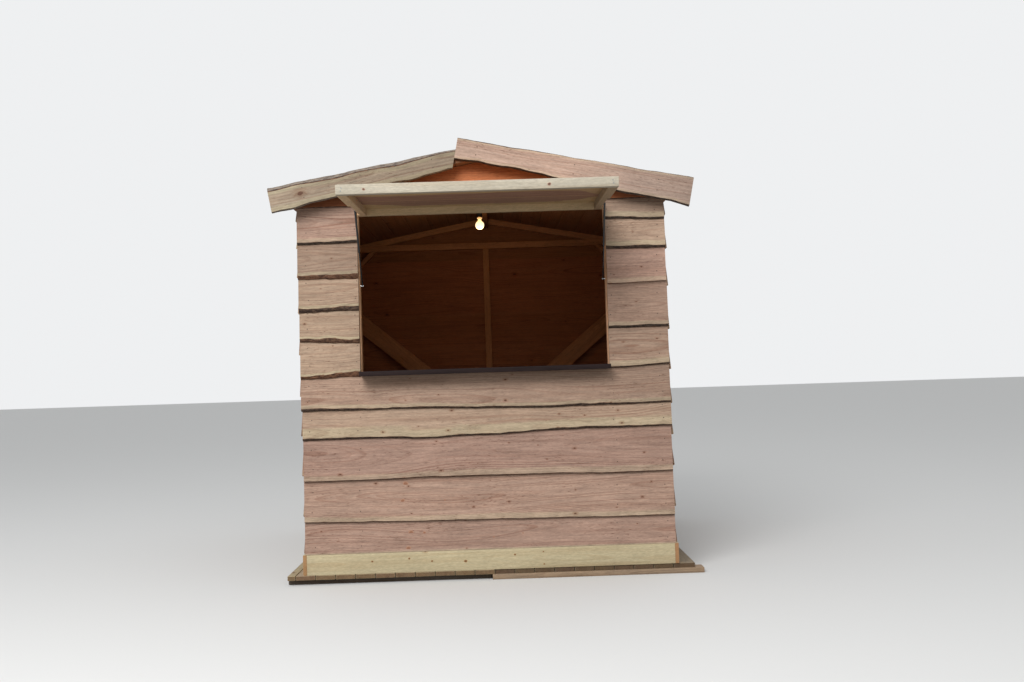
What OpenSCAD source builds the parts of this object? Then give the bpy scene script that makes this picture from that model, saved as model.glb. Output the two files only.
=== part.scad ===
// A small wooden market hut, seen from its serving side along +Y.
// Post and rail walls are clad in lapped live-edge boards under a low gable roof.
// A top-hung hatch over the counter stands open on two gas struts.
// Origin: centre of the wall footprint, on the ground. X to the right, Y into the hut, Z up.

/* [Body] */
// Width of the front wall over its boards
body_w = 2166; // [1900:1:2600]
// Depth of the hut from the front boards to the back boards
body_d = 2500; // [1800:1:3200]
// Height of the top of the wall frames above the ground
wall_top = 2250; // [2100:1:2500]
// How far the side boards stand past the ends of the front boards
side_proud = 11; // [0:1:30]

/* [Base] */
// Thickness of the timbers that lie on the ground
bearer_t = 30; // [20:1:60]
// Width of those timbers
bearer_w = 95; // [60:1:140]
// Number of rows of timbers under the floor
bearer_rows = 5; // [3:1:7]
// Thickness of the floor boards
deck_t = 27; // [20:1:40]
// How far the floor runs past the front boards to either side
deck_side = 105; // [20:1:160]
// How far the floor boards stand out in front of and behind the walls
deck_lip = 4; // [1:1:30]
// How far the front plank runs past the floor at its right end
plank_past = 50; // [0:1:120]
// How far the left front timber lies back from the wall
bearer_back = 40; // [0:1:120]
// Gap between the front plank and the left front timber
plank_gap = 5; // [1:1:20]

/* [Framing] */
// Section of the posts and rails
stud = 48; // [40:1:70]
// Height of the rail that the floor carries
sole_h = 48; // [30:1:70]
// Height of the rail along the top of each wall
plate_h = 50; // [40:1:80]
// Depth of the sloping rail under the roof at each gable
rafter_h = 45; // [30:1:70]
// Height of the ridge beam
ridge_h = 70; // [50:1:90]
// Leg of the small corner braces of the back wall
brace_leg = 125; // [80:1:220]
// Width of the wide lower braces of the back wall
low_brace_w = 125; // [80:1:150]
// Height above the ground where the lower braces meet the corner posts
low_brace_z = 1540; // [1300:1:1700]
// Fall of the lower braces from the level
low_brace_fall = 40; // [30:1:45]

/* [Cladding] */
// Thickness of the boarded wall where two boards lap
clad_t = 42; // [34:1:60]
// Thickness of one board
board_t = 22; // [16:1:30]
// Height of the plain board at the foot of each wall
skirt_h = 118; // [80:1:200]

/* [Roof] */
// Slope of the roof
roof_pitch = 10.6; // [7:0.1:20]
// Thickness of the roof boards
roof_t = 22; // [16:1:30]
// Thickness of the felt on the roof boards
felt_t = 5; // [2:1:10]
// How far the felt stands past the ends and eaves of the roof boards
felt_lip = 6; // [0:1:12]
// Overhang of the roof past the side boards
eaves_out = 51; // [30:1:200]
// Overhang of the roof boards past the front and back walls
gable_out = 70; // [30:1:200]

/* [Bargeboards] */
// Thickness of a bargeboard
barge_t = 25; // [16:1:35]
// Height of the right bargeboard at the ridge, above the underside of the roof
barge_up = 97; // [70:1:110]
// How much steeper than the roof the right bargeboard lies
barge_steeper = 0.7; // [0:0.1:1]
// Width of the right bargeboard at the ridge
barge_w_top = 115; // [105:1:150]
// Width of the right bargeboard at the eaves
barge_w_foot = 166; // [130:1:190]
// How far the right bargeboard runs up past the ridge
barge_past = 120; // [60:1:160]
// How far the right bargeboard runs past the roof boards at the eaves
barge_lip = 100; // [10:1:140]
// Height of the left bargeboard at the ridge, above the underside of the roof
left_barge_up = 81; // [70:1:110]
// How much flatter than the roof the left bargeboard lies
left_barge_flatter = 0.5; // [0:0.1:1]
// Width of the left bargeboard at the ridge
left_barge_top = 110; // [105:1:150]
// Width of the left bargeboard at the eaves
left_barge_foot = 150; // [110:1:180]
// How far the left bargeboard runs past the roof boards at the eaves
left_barge_lip = 85; // [10:1:140]
// Height of the waves along the natural edges
wave = 4; // [0:1:7]

/* [Serving opening] */
// Clear width between the opening's posts
opening_w = 1446; // [1000:1:1600]
// How much of each post shows beside the boards
reveal = 4; // [2:1:20]
// Height of the counter's top above the ground
counter_top = 1231; // [1000:1:1300]
// Thickness of the counter
counter_t = 27; // [20:1:40]
// How far the counter stands out in front of the boards
counter_out = 100; // [60:1:220]

/* [Hatch] */
// Thickness of the hatch frame
hatch_t = 50; // [40:1:60]
// Width of the hatch's rails
hatch_rail = 50; // [42:1:70]
// Thickness of the hatch's boards
hatch_board = 12; // [10:1:25]
// Gap between the hatch and the posts
hatch_gap = 9.5; // [6:0.5:15]
// Gap between the hatch's foot and the counter when closed
hatch_foot_gap = 12; // [8:1:30]
// Angle of the open hatch from its closed place
hatch_open = 88.7; // [60:0.1:92]

/* [Hinges] */
// Number of hinges
hinge_count = 3; // [2:1:4]
// Length of one hinge
hinge_l = 90; // [60:1:140]
// Radius of a hinge knuckle
knuckle_r = 5; // [4:0.5:7]
// Radius of the hinge pin
hinge_pin_r = 2.5; // [2:0.5:3]
// Thickness of a hinge leaf
leaf_t = 3; // [2:0.5:4]

/* [Gas struts] */
// Distance of the strut's upper stud from the hinge, along the hatch
strut_reach = 185; // [150:1:195]
// Height of the strut's lower stud below the hinge
strut_drop = 457; // [430:1:520]
// Radius of the strut's cylinder
strut_r = 6; // [5.5:0.5:8]
// Radius of the strut's rod
rod_r = 4; // [3:0.5:5]
// Clearance beside the cylinder
strut_clear = 5.5; // [5:0.5:9]

/* [Lamp] */
// Distance of the lamp behind the front boards
lamp_in = 1180; // [900:1:1500]
// How far the lamp hangs to the left of the ridge
lamp_aside = 24; // [0:1:30]
// Radius of the bulb
bulb_r = 30; // [20:1:40]
// Height of the lamp holder
holder_h = 88; // [40:1:110]
// Radius of the lamp holder
holder_r = 20; // [16:1:28]

/* [Hidden] */
$fn = 48;

// Clearances between pieces that only touch
seat = 0.02;
seam = 0.3;

// Places worked out from the sizes above
front_y = -body_d / 2;
floor_z = bearer_t + deck_t;
clad_z = floor_z + skirt_h;
side_x = body_w / 2 + side_proud;
frame_x = side_x - clad_t;
frame_y = body_d / 2 - clad_t;
post_x = frame_x - stud;
post_y = frame_y - stud;
sole_y = body_d / 2 - board_t;
sole_x = side_x - board_t;
open_top = wall_top - plate_h;
open_x = opening_w / 2;
sill_z = counter_top - counter_t;
deck_x = body_w / 2 + deck_side;
deck_y = body_d / 2 + deck_lip;

// Underside of the roof: it rests on the outer edge of the side rails
slope = tan(roof_pitch);
ridge_z = wall_top + frame_x * slope;
function under_roof(x) = ridge_z - abs(x) * slope;
eaves_x = side_x + eaves_out;
roof_y = body_d / 2 + gable_out;
felt_back = 2;

// How much of each live-edge board shows, from the foot up; the list repeats
low_shows = [174, 252, 257, 155, 200];
left_shows = [216, 182, 192, 206, 200];
right_shows = [247, 246, 212, 164, 130];
left_side_shows = [215, 235, 230, 244, 242, 239, 209, 179, 150];
right_side_shows = [201, 253, 183, 183, 191, 244, 257, 220, 180];
back_shows = [210, 232, 188, 246, 200, 222, 178];
gable_shows = [320];
least_board = 45;

// Hatch, in its own closed frame: along the hatch from the hinge, and in from the hinge
hinge_z = open_top - knuckle_r - 2;
hatch_x = open_x - hatch_gap;
hatch_top = knuckle_r + leaf_t;
hatch_in = knuckle_r + 0.5;
hatch_foot = hinge_z - counter_top - hatch_foot_gap;
side_rail_x = hatch_x - hatch_rail;

// Housings in the hatch's side rails, where the struts lie while the hatch swings
strut_gap = 2 * (strut_r + strut_clear);
housing_x = open_x - strut_gap;
swing_room = 100;
foot_room = 20;
housing_top = strut_reach - swing_room;
housing_foot = strut_drop + foot_room;
strut_x = open_x - strut_gap / 2;

// Strut studs as [in, up] from the hinge, and the strut's two lengths
pin_r = 4;
stud_in = hatch_in + hatch_t - 3 * pin_r;
low_stud = [clad_t + stud / 2 - pin_r, -strut_drop];
function turned(p, a) = [p[0] * cos(a) + p[1] * sin(a), -p[0] * sin(a) + p[1] * cos(a)];
shut_stud = [stud_in, -strut_reach];
open_stud = turned(shut_stud, hatch_open);
open_len = norm(open_stud - low_stud);
shut_len = norm(shut_stud - low_stud);
strut_tilt = atan2(open_stud[0] - low_stud[0], open_stud[1] - low_stud[1]);
eye_r = rod_r + pin_r;
eye_t = 6;
run = 0.06;
tube_mouth = shut_len - eye_r - 5;
tube_floor = strut_r + 6;
rod_len = shut_len - tube_floor - 6;

// Points of the natural edge of a board: a low wave along its length
function edge(l, a, n, phase) =
    [for (i = [0:n]) [l * i / n, a * (sin(i * 47 + phase) + 0.6 * sin(i * 101 + phase * 2))]];
function backwards(p) = [for (i = [len(p) - 1:-1:0]) p[i]];

// Lower edges of the boards between two heights, and the lapped outline they make
function laps(z, top, shows, i = 0) =
    z + least_board >= top ? [] : concat([z], laps(z + shows[i % len(shows)], top, shows, i + 1));
function lap_line(z, top) =
    [for (i = [0:len(z) - 1]) each [[0, z[i]], [clad_t - board_t, i + 1 < len(z) ? z[i + 1] : top]]];

// Boarded wall with its outer face on y = 0 and its inner face at clad_t
module boards(x0, x1, z0, z1, shows) {
    z = laps(z0, z1, shows);
    translate([x0, 0, 0])
        rotate([90, 0, 90])
        linear_extrude(x1 - x0)
        polygon(concat(lap_line(z, z1), [[clad_t, z1], [clad_t, z0]]));
}

module bar(x0, x1, y0, y1, z0, z1) {
    translate([x0, y0, z0]) cube([x1 - x0, y1 - y0, z1 - z0]);
}

module both_sides() {
    children();
    mirror([1, 0, 0]) children();
}

module both_ends() {
    children();
    mirror([0, 1, 0]) children();
}

// Outline in X and Z, given a thickness in Y from y0
module upright(y0, t) {
    translate([0, y0 + t, 0]) rotate([90, 0, 0]) linear_extrude(t) children();
}

module under_roof_shape() {
    polygon([
        [-body_w, open_top], [body_w, open_top],
        [body_w, under_roof(body_w) - seat], [0, ridge_z - seat],
        [-body_w, under_roof(body_w) - seat]
    ]);
}

module ground_bearers() {
    color("#7d6449") {
        step = (body_d - bearer_w) / (bearer_rows - 1);
        for (i = [1:bearer_rows - 1]) {
            y = front_y + i * step;
            bar(-deck_x, deck_x, y, y + bearer_w, 0, bearer_t);
        }
        bar(-deck_x, 0, front_y + bearer_back, front_y + bearer_back + bearer_w, 0, bearer_t);
    }
}

module front_plank() {
    color("#b08d66")
        bar(plank_gap, deck_x + plank_past, front_y - 2 * deck_lip, front_y + bearer_w, 0, bearer_t);
}

module floor_deck() {
    color("#8b7355") bar(-deck_x, deck_x, -deck_y, deck_y, bearer_t, floor_z);
}

module sole_rails() {
    color("#b98f63") {
        both_ends() bar(-sole_x, sole_x, post_y, sole_y, floor_z, floor_z + sole_h);
        both_sides() bar(post_x, sole_x, -post_y, post_y, floor_z, floor_z + sole_h);
    }
}

module corner_posts() {
    color("#b98f63")
        both_ends() both_sides() bar(post_x, frame_x, post_y, frame_y, floor_z + sole_h, open_top);
}

module opening_posts() {
    color("#e3c79a")
        both_sides() bar(open_x, open_x + stud, -frame_y, -post_y, floor_z + sole_h, open_top);
}

module sill_rail() {
    color("#c79f70") bar(-open_x, open_x, -frame_y, -post_y, sill_z - plate_h, sill_z);
}

module top_rails() {
    color("#b98f63") {
        both_ends() bar(-frame_x, frame_x, post_y, frame_y, open_top, wall_top);
        both_sides() bar(post_x, frame_x, -post_y, post_y, open_top, wall_top);
    }
}

module back_centre_post() {
    color("#b98f63")
        bar(-stud / 2, stud / 2, post_y, frame_y, floor_z + sole_h, open_top);
}

module back_braces() {
    color("#a97e54") both_sides() upright(post_y, stud) {
        polygon([
            [post_x, open_top - brace_leg], [post_x, open_top - brace_leg + stud],
            [post_x - brace_leg + stud, open_top], [post_x - brace_leg, open_top]
        ]);
        run_x = post_x - stud / 2;
        drop = run_x * tan(low_brace_fall);
        tall = low_brace_w / cos(low_brace_fall);
        polygon([
            [post_x, low_brace_z], [post_x, low_brace_z + tall],
            [stud / 2, low_brace_z + tall - drop], [stud / 2, low_brace_z - drop]
        ]);
    }
}

module gable_rails() {
    tall = rafter_h / cos(roof_pitch);
    meet_x = (ridge_z - tall - wall_top) / slope;
    color("#b98f63") both_ends() both_sides() upright(post_y, stud) polygon([
        [stud / 2, under_roof(stud / 2)], [stud / 2, under_roof(stud / 2) - tall],
        [meet_x, wall_top], [frame_x, wall_top]
    ]);
}

module ridge_beam() {
    top = under_roof(stud / 2);
    color("#a97e54") bar(-stud / 2, stud / 2, -frame_y, frame_y, top - ridge_h, top);
}

// Sloping sheet on the right, from one height above the roof's underside to another
module slope_sheet(from, to, out, y) {
    c = cos(roof_pitch);
    s = sin(roof_pitch);
    mid = seam / 2;
    foot = [eaves_x + out * c, under_roof(eaves_x + out * c)];
    upright(-y, 2 * y) polygon([
        [mid, under_roof(mid) + from / c], foot + from * [s, c],
        foot + to * [s, c], [mid, under_roof(mid) + to / c]
    ]);
}

module roof_right() {
    color("#8a6544") slope_sheet(0, roof_t, 0, roof_y);
}

module roof_left() {
    color("#8a6544") mirror([1, 0, 0]) slope_sheet(0, roof_t, 0, roof_y);
}

module roof_felt() {
    color("#3a3f3b") both_sides() slope_sheet(roof_t, roof_t + felt_t, felt_lip, roof_y - felt_back);
}

// Bargeboard outline along +X down the right slope, from the ridge, top edge near y = 0
barge_points = 26;
module barge_outline(start, l, w0, w1, phase) {
    n = barge_points;
    top = [for (p = edge(l, wave * 0.5, n, phase)) [start + p[0], p[1]]];
    foot = [for (p = edge(l, wave, n, phase + 70))
        [start + p[0], p[1] - w0 - (w1 - w0) * p[0] / l]];
    polygon(concat(top, backwards(foot)));
}

// Places what is drawn along +X on the right slope, that much up and at that pitch
module on_slope(up, pitch) {
    translate([0, ridge_z + up / cos(roof_pitch)]) rotate(-pitch) children();
}

right_pitch = roof_pitch + barge_steeper;
left_pitch = roof_pitch - left_barge_flatter;
right_l = (eaves_x + barge_lip) / cos(right_pitch);
left_l = (eaves_x + left_barge_lip) / cos(left_pitch);

module right_barge() {
    on_slope(barge_up, right_pitch)
        barge_outline(-barge_past, right_l + barge_past, barge_w_top, barge_w_foot, 20);
}

// The left one ends at the upper end of the right one
module left_barge() {
    difference() {
        mirror([1, 0]) on_slope(left_barge_up, left_pitch)
            barge_outline(0, left_l, left_barge_top, left_barge_foot, 160);
        on_slope(barge_up, right_pitch) translate([-barge_past - seam, -2 * barge_w_foot])
            square([barge_past + 2 * barge_w_foot, 4 * barge_w_foot]);
    }
}

module bargeboard_right() {
    color("#c49a74") upright(-roof_y - barge_t, barge_t) right_barge();
}

module bargeboard_left() {
    color("#c49a74") upright(-roof_y - barge_t, barge_t) left_barge();
}

module back_bargeboards() {
    color("#c49a74") rotate(180) upright(-roof_y - barge_t, barge_t) {
        right_barge();
        left_barge();
    }
}

module front_pier(x0, x1, shows) {
    translate([0, front_y, 0]) boards(x0, x1, sill_z, open_top, shows);
}

module front_pier_left() {
    color("#c79a76") front_pier(-body_w / 2, -open_x - reveal, left_shows);
}

module front_pier_right() {
    color("#c79a76") front_pier(open_x + reveal, body_w / 2, right_shows);
}

module front_wall_low() {
    color("#c79a76")
        translate([0, front_y, 0]) boards(-body_w / 2, body_w / 2, clad_z, sill_z, low_shows);
}

module gable() {
    intersection() {
        translate([0, front_y, 0]) boards(-body_w / 2, body_w / 2, open_top, ridge_z, gable_shows);
        upright(front_y - 1, clad_t + 2) under_roof_shape();
    }
}

module front_gable() {
    color("#b98564") gable();
}

module back_gable() {
    color("#b98564") mirror([0, 1, 0]) gable();
}

module back_wall() {
    color("#c79a76") mirror([0, 1, 0]) translate([0, front_y, 0])
        boards(-body_w / 2, body_w / 2, clad_z, open_top, back_shows);
}

module side_wall(shows) {
    rotate(90) translate([0, -side_x, 0])
        boards(-frame_y, frame_y, clad_z, under_roof(side_x), shows);
}

module right_wall() {
    color("#c79a76") side_wall(right_side_shows);
}

module left_wall() {
    color("#c79a76") rotate(180) side_wall(left_side_shows);
}

module front_skirting() {
    color("#dcb877") bar(-sole_x, sole_x, front_y, front_y + board_t, floor_z, clad_z);
}

module side_skirtings() {
    color("#dcb877")
        both_sides() bar(sole_x, side_x, front_y, body_d / 2, floor_z, clad_z);
}

module back_skirting() {
    color("#dcb877") bar(-sole_x, sole_x, sole_y, body_d / 2, floor_z, clad_z);
}

module counter() {
    wide = open_x + reveal - 1;
    narrow = open_x - seam;
    color("#2e2622") {
        bar(-wide, wide, front_y - counter_out, -frame_y - seam, sill_z, counter_top);
        bar(-narrow, narrow, -frame_y - 1, -post_y, sill_z, counter_top);
    }
}

// Moves what is drawn closed, from the hinge, to the open hatch's place
module opened() {
    translate([0, front_y, hinge_z]) rotate([-hatch_open, 0, 0]) children();
}

module hatch_cross_rails() {
    color("#ead2a4") opened() {
        bar(-side_rail_x, side_rail_x, hatch_in, hatch_in + hatch_t,
            -hatch_top - hatch_rail, -hatch_top);
        bar(-hatch_x, hatch_x, hatch_in, hatch_in + hatch_t, -hatch_foot, -hatch_foot + hatch_rail);
    }
}

module hatch_side_rails() {
    color("#ead2a4") opened() both_sides() difference() {
        bar(side_rail_x, hatch_x, hatch_in, hatch_in + hatch_t, -hatch_foot + hatch_rail, -hatch_top);
        bar(housing_x, open_x, 0, hatch_in + hatch_t + 1, -housing_foot, -housing_top);
    }
}

module hatch_boards() {
    color("#b48a72") opened()
        bar(-side_rail_x, side_rail_x, hatch_in, hatch_in + hatch_board,
            -hatch_foot + hatch_rail, -hatch_top - hatch_rail);
}

// Hinge places along the hatch, clear of its ends
hinge_step = hinge_count > 1 ? (opening_w - 3 * hinge_l) / (hinge_count - 1) : 0;
function hinge_at(i) = (i - (hinge_count - 1) / 2) * hinge_step;
knuckle_l = hinge_l / 3;
knuckle_gap = 0.4;

module knuckle(x, l, r) {
    translate([x, 0, 0]) rotate([0, 90, 0]) cylinder(r = r, h = l);
}

module hinges_fixed() {
    color("#9a9a96") translate([0, front_y, hinge_z])
        for (i = [0:hinge_count - 1]) translate([hinge_at(i) - hinge_l / 2, 0, 0]) {
            top = open_top - hinge_z;
            bar(0, hinge_l, knuckle_r + 1, clad_t + stud / 2, top - leaf_t, top);
            for (x = [0, hinge_l - knuckle_l]) {
                knuckle(x, knuckle_l, knuckle_r);
                bar(x, x + knuckle_l, 0, knuckle_r + 1, top - leaf_t, top);
                bar(x, x + knuckle_l, -1, 1, 1, top - leaf_t + 0.5);
            }
            knuckle(0, hinge_l, hinge_pin_r);
        }
}

module hinges_moving() {
    color("#9a9a96") opened()
        for (i = [0:hinge_count - 1]) translate([hinge_at(i) - hinge_l / 2, 0, 0]) {
            bar(0, hinge_l, knuckle_r + 1, hatch_in + hatch_t - 8, -hatch_top, -hatch_top + leaf_t);
            difference() {
                x = knuckle_l + knuckle_gap;
                l = knuckle_l - 2 * knuckle_gap;
                union() {
                    knuckle(x, l, knuckle_r);
                    bar(x, x + l, 0, knuckle_r + 1.5, -hatch_top, -hatch_top + leaf_t);
                    bar(x, x + l, -1, 1, -hatch_top + leaf_t - 0.5, -hinge_pin_r - 1);
                }
                knuckle(0, hinge_l, hinge_pin_r + run);
            }
        }
}

// Stud across the gap: it stands on a plate, towards +X
module stud_pin(l, r) {
    rotate([0, 90, 0]) {
        cylinder(r = r + 4, h = 2);
        cylinder(r = r, h = l);
    }
}

module hatch_studs() {
    color("#d8d8d4") opened() both_sides()
        translate([housing_x, stud_in, -strut_reach]) stud_pin(strut_clear - 1, pin_r);
}

module post_studs() {
    far = open_x - strut_x + eye_t / 2 + 1;
    color("#d8d8d4") both_sides()
        translate([open_x, front_y + low_stud[0], hinge_z + low_stud[1]]) mirror([1, 0, 0]) {
            stud_pin(far + 2, pin_r);
            translate([far, 0, 0]) rotate([0, 90, 0]) cylinder(r = pin_r + 2, h = 2);
        }
}

// Strut frame: the lower stud at the origin, the upper stud up along Z
module on_strut() {
    translate([strut_x, front_y + low_stud[0], hinge_z + low_stud[1]])
        rotate([-strut_tilt, 0, 0]) children();
}

module strut_rod() {
    on_strut() difference() {
        union() {
            translate([0, 0, eye_r - 3]) cylinder(r = rod_r, h = rod_len - eye_r + 3);
            translate([-eye_t / 2, 0, 0]) rotate([0, 90, 0]) cylinder(r = eye_r, h = eye_t);
        }
        translate([-eye_t, 0, 0]) rotate([0, 90, 0]) cylinder(r = pin_r + run, h = 2 * eye_t);
    }
}

module strut_cylinder() {
    on_strut() difference() {
        union() {
            translate([0, 0, open_len - tube_mouth]) cylinder(r = strut_r, h = tube_mouth);
            translate([-strut_r, 0, open_len]) rotate([0, 90, 0]) cylinder(r = strut_r, h = 2 * strut_r);
        }
        translate([0, 0, open_len - tube_mouth - 1])
            cylinder(r = rod_r + run, h = tube_mouth - tube_floor + 1);
    }
}

module strut_rod_right() {
    color("#2a2a2c") strut_rod();
}

module strut_rod_left() {
    color("#2a2a2c") mirror([1, 0, 0]) strut_rod();
}

module strut_cylinder_right() {
    color("#1d1d1f") strut_cylinder();
}

module strut_cylinder_left() {
    color("#1d1d1f") mirror([1, 0, 0]) strut_cylinder();
}

// The lamp hangs under the ridge beam
lamp_y = front_y + lamp_in;
holder_z = under_roof(stud / 2) - ridge_h;
flange_h = 8;
neck_r = 13;
neck_h = 34;
neck_in = 6;

module lamp_holder() {
    color("#201d1b") translate([-lamp_aside, lamp_y, holder_z - holder_h]) {
        cylinder(r = holder_r, h = holder_h);
        translate([0, 0, holder_h - flange_h]) cylinder(r = holder_r + 12, h = flange_h);
    }
}

module lamp_bulb() {
    color("#ffd890") translate([-lamp_aside, lamp_y, holder_z - holder_h]) {
        translate([0, 0, -neck_h]) cylinder(r = neck_r, h = neck_h);
        translate([0, 0, neck_in - neck_h - bulb_r]) sphere(r = bulb_r);
    }
}

ground_bearers();
front_plank();
floor_deck();
sole_rails();
corner_posts();
opening_posts();
sill_rail();
top_rails();
back_centre_post();
back_braces();
gable_rails();
ridge_beam();
roof_left();
roof_right();
roof_felt();
bargeboard_left();
bargeboard_right();
back_bargeboards();
front_pier_left();
front_pier_right();
front_wall_low();
front_gable();
left_wall();
right_wall();
back_wall();
back_gable();
front_skirting();
side_skirtings();
back_skirting();
counter();
hatch_cross_rails();
hatch_side_rails();
hatch_boards();
hinges_fixed();
hinges_moving();
hatch_studs();
post_studs();
strut_rod_left();
strut_rod_right();
strut_cylinder_left();
strut_cylinder_right();
lamp_holder();
lamp_bulb();
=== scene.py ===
import math
import random

import bmesh
import bpy
from mathutils import Matrix, Vector, noise
from mathutils.bvhtree import BVHTree


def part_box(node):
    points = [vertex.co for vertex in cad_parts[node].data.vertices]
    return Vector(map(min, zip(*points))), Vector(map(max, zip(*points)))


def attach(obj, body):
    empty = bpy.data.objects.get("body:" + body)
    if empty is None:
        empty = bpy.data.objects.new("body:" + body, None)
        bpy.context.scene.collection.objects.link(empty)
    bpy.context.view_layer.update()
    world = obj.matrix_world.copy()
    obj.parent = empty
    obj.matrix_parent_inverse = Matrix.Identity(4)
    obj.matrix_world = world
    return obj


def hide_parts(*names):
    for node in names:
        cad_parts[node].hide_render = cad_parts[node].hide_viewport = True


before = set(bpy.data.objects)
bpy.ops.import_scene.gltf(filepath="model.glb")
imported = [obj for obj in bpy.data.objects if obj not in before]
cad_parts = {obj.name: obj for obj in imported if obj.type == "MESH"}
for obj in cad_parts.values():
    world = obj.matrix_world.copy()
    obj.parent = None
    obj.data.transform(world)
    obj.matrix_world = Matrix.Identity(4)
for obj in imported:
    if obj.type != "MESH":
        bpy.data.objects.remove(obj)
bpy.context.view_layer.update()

# Sizes and places read from the frame, in metres
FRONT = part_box("front_wall_low")[0].y
HALF, inner_face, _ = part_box("front_wall_low")[1]
WALL = inner_face - FRONT
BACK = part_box("back_wall")[1].y
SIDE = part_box("right_wall")[1].x
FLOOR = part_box("floor_deck")[1].z
OPEN_TOP, RIDGE = (corner.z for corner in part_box("front_gable"))
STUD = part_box("back_centre_post")[1].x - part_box("back_centre_post")[0].x
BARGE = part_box("bargeboard_left")[1].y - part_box("bargeboard_left")[0].y
POST_X = [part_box("corner_posts")[1].x - STUD / 2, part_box("opening_posts")[1].x - STUD / 2]

# Boards: thickness, length between their cross sections, lap at a wall's top
BOARD = 0.020
STEP = 0.028
LAP = 0.026
SHARP = math.radians(32)
# The look of a point: tone, distance from the natural edge in widths of sapwood, bark
NO_SAP = 9.0
PLAIN = (0.0, NO_SAP, 0.0)


def srgb(r, g, b):
    """The linear colour of an 8-bit screen colour."""
    def linear(c):
        c /= 255
        return c / 12.92 if c <= 0.04045 else ((c + 0.055) / 1.055) ** 2.4
    return (linear(r), linear(g), linear(b), 1.0)


def wobble(seed, u, v=0.0):
    """Smooth noise from -1 to 1 along a line, or over a plane."""
    return noise.noise(Vector((u, v, seed * 7.31)))


def along_list(values, share):
    """The value at a share of the way along an evenly spaced list."""
    at = min(max(share, 0.0), 1.0) * (len(values) - 1)
    n = min(int(at), len(values) - 2)
    part = at - n
    part = part * part * (3 - 2 * part)
    return values[n] * (1 - part) + values[n + 1] * part


def linked(name, data):
    """A new object in the scene."""
    thing = bpy.data.objects.new(name, data)
    bpy.context.scene.collection.objects.link(thing)
    return thing


# Materials

def operator(operation):
    """A method that puts two values through a Math node."""
    return lambda value, other: value.graph.math(operation, value, other)


class Value:
    """A shader value that can stand in sums and products."""

    __add__ = operator("ADD")
    __sub__ = operator("SUBTRACT")
    __mul__ = operator("MULTIPLY")
    __truediv__ = operator("DIVIDE")
    __pow__ = operator("POWER")

    def __init__(self, graph, socket):
        self.graph = graph
        self.socket = socket

    def __rsub__(self, other):
        return self.graph.math("SUBTRACT", other, self)


class Graph:
    """The nodes of a material or a world, written as calls that return values."""

    def __init__(self, owner, shader="Principled BSDF"):
        owner.use_nodes = True
        self.owner = owner
        self.tree = owner.node_tree
        self.shader = self.tree.nodes[shader]

    def feed(self, socket, value):
        value = getattr(value, "socket", value)
        if isinstance(value, bpy.types.NodeSocket):
            self.tree.links.new(value, socket)
        else:
            socket.default_value = value

    def add(self, kind, inputs=(), **settings):
        node = self.tree.nodes.new("ShaderNode" + kind)
        for name, value in settings.items():
            setattr(node, name, value)
        for key, value in inputs:
            self.feed(node.inputs[key], value)
        return node

    def get(self, output, kind, inputs=(), **settings):
        """One output of a new node."""
        return Value(self, self.add(kind, inputs, **settings).outputs[output])

    def math(self, operation, a, b=0.0):
        return self.get(0, "Math", [(0, a), (1, b)], operation=operation)

    def scaled(self, vector, factors):
        return self.get(0, "VectorMath", [(0, vector), (1, factors)], operation="MULTIPLY")

    def attribute(self, name, output="Vector"):
        return self.get(output, "Attribute", attribute_name=name)

    def split(self, vector):
        return [Value(self, out) for out in self.add("SeparateXYZ", [(0, vector)]).outputs]

    def joined(self, x, y, z=0.0):
        return self.get(0, "CombineXYZ", [(0, x), (1, y), (2, z)])

    def between(self, value, low, high):
        """0 below low, 1 above high, smooth between them."""
        return self.get(0, "MapRange", [("Value", value), ("From Min", low), ("From Max", high)],
                        interpolation_type="SMOOTHSTEP")

    def noise(self, vector, scale, detail=2.0, roughness=0.5):
        return self.get("Fac", "TexNoise", [("Vector", vector), ("Scale", scale),
                                            ("Detail", detail), ("Roughness", roughness)])

    def mix(self, factor, a, b, blend="MIX"):
        return self.get(2, "Mix", [(0, factor), (6, a), (7, b)], data_type="RGBA",
                        blend_type=blend)

    def tinted(self, colour, tint, factor=1.0):
        return self.mix(factor, colour, tint, "MULTIPLY")

    def set(self, **values):
        for name, value in values.items():
            self.feed(self.shader.inputs[name.replace("_", " ")], value)

    def bump(self, height, distance, strength):
        self.set(Normal=self.get(0, "Bump", [("Height", height), ("Distance", distance),
                                             ("Strength", strength)]))

    def seen_directly(self):
        """1 where the camera sees a point itself, in a reflection or through glass."""
        rays = self.add("LightPath").outputs
        seen = self.math("MAXIMUM", rays["Is Camera Ray"], rays["Is Glossy Ray"])
        return self.math("MAXIMUM", seen, rays["Is Transmission Ray"])


def new_material(name):
    return Graph(bpy.data.materials.new(name))


def knot_pattern(g, flat, end, share, size, cells):
    """Knots in a share of the cells over a face; cells is how many there are in a metre.

    Returns the knots, the darker wood round them, and how far they push the rings aside.
    """
    spot = g.add("TexVoronoi", [("Vector", g.scaled(flat, cells)), ("Scale", 1.0)],
                 voronoi_dimensions="2D").outputs
    pick, spread, _ = g.split(spot["Color"])
    none = g.math("LESS_THAN", pick, 1.0 - share)
    ragged = (g.noise(flat, 45.0) - 0.5) * 0.03
    far = Value(g, spot["Distance"]) + ragged + (none + end) * 9.0
    far = far / ((spread * 0.75 + 0.45) * size)
    knot = 1.0 - g.between(far, 0.035, 0.052)
    halo = 1.0 - g.between(far, 0.045, 0.16)
    return knot, halo, g.math("EXPONENT", far ** 2.0 * -130.0)


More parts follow.
